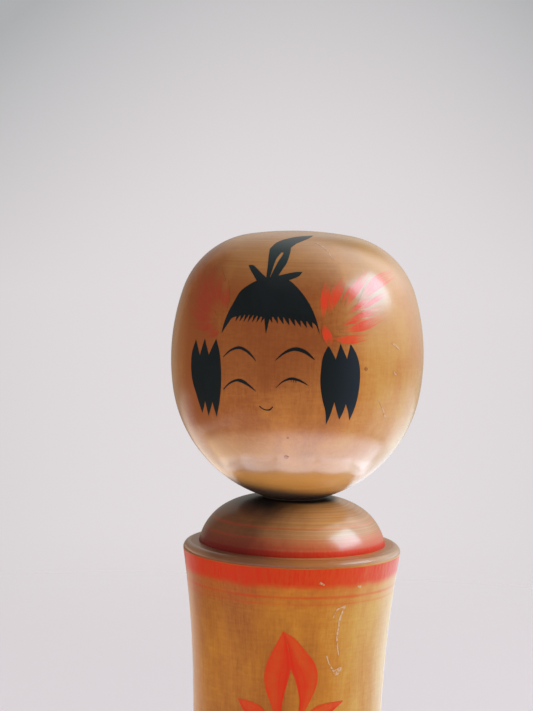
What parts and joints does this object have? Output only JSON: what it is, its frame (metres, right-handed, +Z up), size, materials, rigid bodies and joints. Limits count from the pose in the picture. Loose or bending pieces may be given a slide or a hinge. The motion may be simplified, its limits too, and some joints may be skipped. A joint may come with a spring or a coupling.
{
  "type": "kokeshi doll",
  "caption": "Turned wooden kokeshi doll with a round head that turns in its domed shoulder, a shoulder ledge and a gently waisted trunk that stands on a flat foot.",
  "frame": {"origin": "centre of the foot, on the plane that the doll stands on", "axes": "+Z up along the turning axis; the flower on the trunk faces -Y, and the face is turned 15 degrees from it towards -X"},
  "size_m": [0.078, 0.078, 0.2422],
  "materials": {
    "head_wood": "satin waxed wood with painted face and hair",
    "body_wood": "satin waxed wood with painted bands and flower"
  },
  "bodies": {
    "body": {"body": "body_wood"},
    "head": {"head": "head_wood"}
  },
  "joints": [
    {"name": "head_turn", "type": "hinge", "parent": "body", "child": "head", "pos_m": [0, 0, 0.1598], "axis": [0, 0, 1], "continuous": true}
  ]
}
